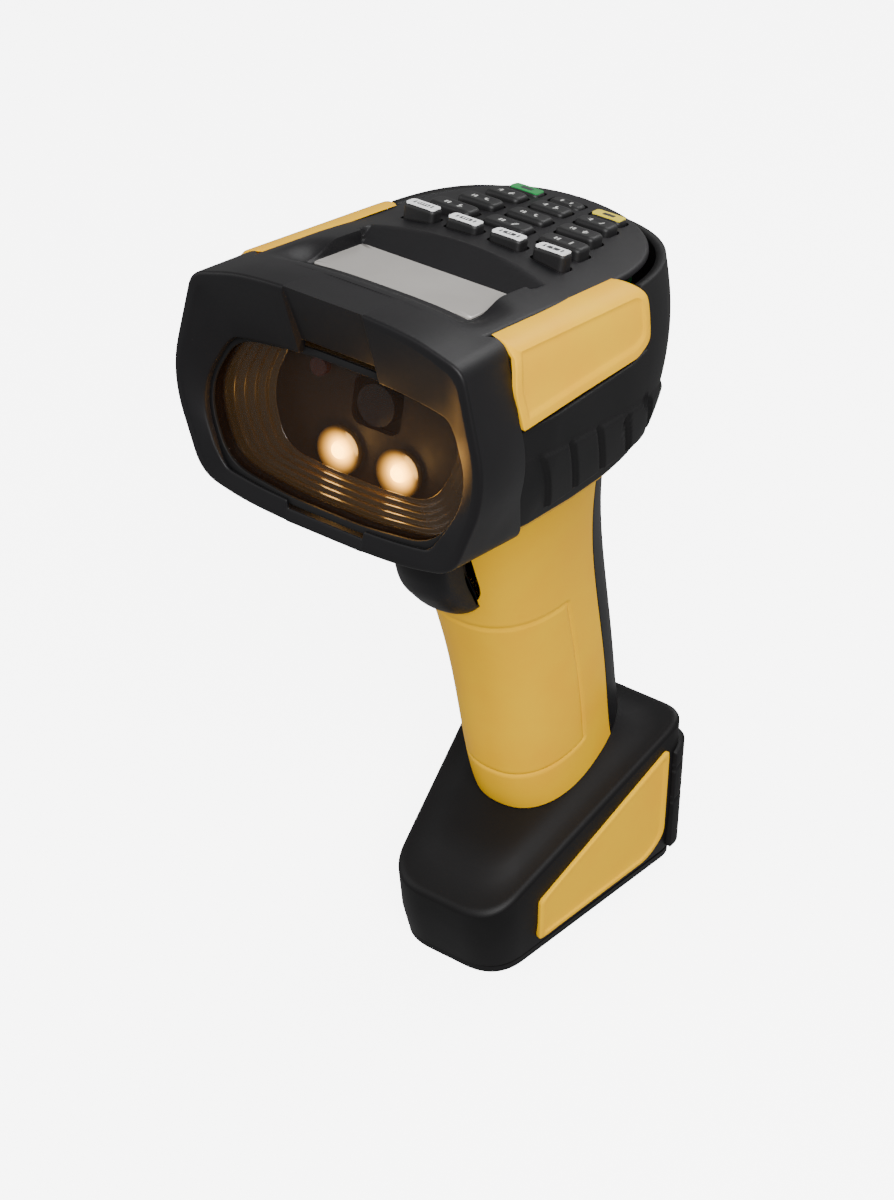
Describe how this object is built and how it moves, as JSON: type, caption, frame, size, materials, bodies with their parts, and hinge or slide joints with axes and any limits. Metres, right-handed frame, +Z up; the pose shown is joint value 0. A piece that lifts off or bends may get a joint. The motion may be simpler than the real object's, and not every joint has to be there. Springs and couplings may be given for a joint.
{
  "type": "handheld barcode scanner",
  "caption": "Pistol-grip barcode scanner with a flared window hood, a display and keypad on its back, a trigger, and a standing battery foot that comes off.",
  "frame": {"origin": "middle of the overall width and length, on the surface the foot stands on", "axes": "+Z up, the scan window faces -Y, +X to the user's left as the user holds it"},
  "size_m": [0.0734, 0.1137, 0.2117],
  "materials": {
    "black_plastic": "fine moulded texture",
    "black_rubber": "soft matt rubber",
    "yellow_plastic": "satin moulded plastic",
    "white_key": "satin",
    "green_key": "satin",
    "yellow_key": "satin",
    "clear_window": "clear, coated",
    "display_glass": "anti-glare",
    "amber_reflector": "polished, translucent",
    "led_lens": "polished",
    "circuit_board": "solder mask",
    "steel": "turned",
    "gold_contact": "plated",
    "cell_wrap": "shrink wrap"
  },
  "bodies": {
    "housing": {"front_hood": "black_plastic", "keypad_deck": "black_plastic", "handle_back": "black_plastic", "engine_chassis": "black_plastic", "imager_lens": "black_plastic", "beeper": "black_plastic", "trigger_switch": "black_plastic", "rubber_bumper": "black_rubber", "window_gasket": "black_rubber", "keypad_mat": "black_rubber", "head_tub": "yellow_plastic", "handle_front": "yellow_plastic", "left_panel": "yellow_plastic", "right_panel": "yellow_plastic", "scan_window": "clear_window", "display_lens": "display_glass", "light_frame": "amber_reflector", "led_left": "led_lens", "led_right": "led_lens", "main_board": "circuit_board", "radio_board": "circuit_board", "illumination_board": "circuit_board", "display_module": "circuit_board", "trigger_pin": "steel", "trigger_spring": "steel", "back_screw_1": "steel", "back_screw_2": "steel", "aimer": "steel"},
    "trigger": {"trigger": "black_plastic"},
    "battery_foot": {"foot_shell": "black_rubber", "foot_tray": "black_plastic", "foot_panel_left": "yellow_plastic", "foot_panel_right": "yellow_plastic", "foot_bumper": "black_rubber", "battery_block": "cell_wrap", "contact_block": "black_plastic", "battery_contact_1": "gold_contact", "battery_contact_2": "gold_contact", "battery_contact_3": "gold_contact", "battery_contact_4": "gold_contact", "charge_contact_left": "gold_contact", "charge_contact_right": "gold_contact", "lock_screw": "steel"},
    "key_01": {"key_01": "white_key"},
    "key_02": {"key_02": "white_key"},
    "key_03": {"key_03": "white_key"},
    "key_04": {"key_04": "white_key"},
    "key_05": {"key_05": "black_rubber"},
    "key_06": {"key_06": "black_rubber"},
    "key_07": {"key_07": "black_rubber"},
    "key_08": {"key_08": "black_rubber"},
    "key_09": {"key_09": "black_rubber"},
    "key_10": {"key_10": "black_rubber"},
    "key_11": {"key_11": "black_rubber"},
    "key_12": {"key_12": "black_rubber"},
    "key_13": {"key_13": "black_rubber"},
    "key_14": {"key_14": "green_key"},
    "key_15": {"key_15": "black_rubber"},
    "key_16": {"key_16": "yellow_key"}
  },
  "joints": [
    {"name": "trigger_pull", "type": "hinge", "parent": "housing", "child": "trigger", "pos_m": [0, -0.00865, 0.139], "axis": [1, 0, 0], "range_deg": [0, 6], "stiffness_Nm_per_rad": 0.5},
    {"name": "foot_removal", "type": "slide", "parent": "housing", "child": "battery_foot", "axis": [0, 0, -1], "range_m": [0, 0.06]},
    {"name": "key_01_press", "type": "slide", "parent": "housing", "child": "key_01", "axis": [0, -0.225, -0.9744], "range_m": [0, 0.0008], "stiffness_N_per_m": 600},
    {"name": "key_02_press", "type": "slide", "parent": "housing", "child": "key_02", "axis": [0, -0.225, -0.9744], "range_m": [0, 0.0008], "stiffness_N_per_m": 600},
    {"name": "key_03_press", "type": "slide", "parent": "housing", "child": "key_03", "axis": [0, -0.225, -0.9744], "range_m": [0, 0.0008], "stiffness_N_per_m": 600},
    {"name": "key_04_press", "type": "slide", "parent": "housing", "child": "key_04", "axis": [0, -0.225, -0.9744], "range_m": [0, 0.0008], "stiffness_N_per_m": 600},
    {"name": "key_05_press", "type": "slide", "parent": "housing", "child": "key_05", "axis": [0, -0.225, -0.9744], "range_m": [0, 0.0008], "stiffness_N_per_m": 600},
    {"name": "key_06_press", "type": "slide", "parent": "housing", "child": "key_06", "axis": [0, -0.225, -0.9744], "range_m": [0, 0.0008], "stiffness_N_per_m": 600},
    {"name": "key_07_press", "type": "slide", "parent": "housing", "child": "key_07", "axis": [0, -0.225, -0.9744], "range_m": [0, 0.0008], "stiffness_N_per_m": 600},
    {"name": "key_08_press", "type": "slide", "parent": "housing", "child": "key_08", "axis": [0, -0.225, -0.9744], "range_m": [0, 0.0008], "stiffness_N_per_m": 600},
    {"name": "key_09_press", "type": "slide", "parent": "housing", "child": "key_09", "axis": [0, -0.225, -0.9744], "range_m": [0, 0.0008], "stiffness_N_per_m": 600},
    {"name": "key_10_press", "type": "slide", "parent": "housing", "child": "key_10", "axis": [0, -0.225, -0.9744], "range_m": [0, 0.0008], "stiffness_N_per_m": 600},
    {"name": "key_11_press", "type": "slide", "parent": "housing", "child": "key_11", "axis": [0, -0.225, -0.9744], "range_m": [0, 0.0008], "stiffness_N_per_m": 600},
    {"name": "key_12_press", "type": "slide", "parent": "housing", "child": "key_12", "axis": [0, -0.225, -0.9744], "range_m": [0, 0.0008], "stiffness_N_per_m": 600},
    {"name": "key_13_press", "type": "slide", "parent": "housing", "child": "key_13", "axis": [0, -0.225, -0.9744], "range_m": [0, 0.0008], "stiffness_N_per_m": 600},
    {"name": "key_14_press", "type": "slide", "parent": "housing", "child": "key_14", "axis": [0, -0.225, -0.9744], "range_m": [0, 0.0008], "stiffness_N_per_m": 600},
    {"name": "key_15_press", "type": "slide", "parent": "housing", "child": "key_15", "axis": [0, -0.225, -0.9744], "range_m": [0, 0.0008], "stiffness_N_per_m": 600},
    {"name": "key_16_press", "type": "slide", "parent": "housing", "child": "key_16", "axis": [0, -0.225, -0.9744], "range_m": [0, 0.0008], "stiffness_N_per_m": 600}
  ]
}
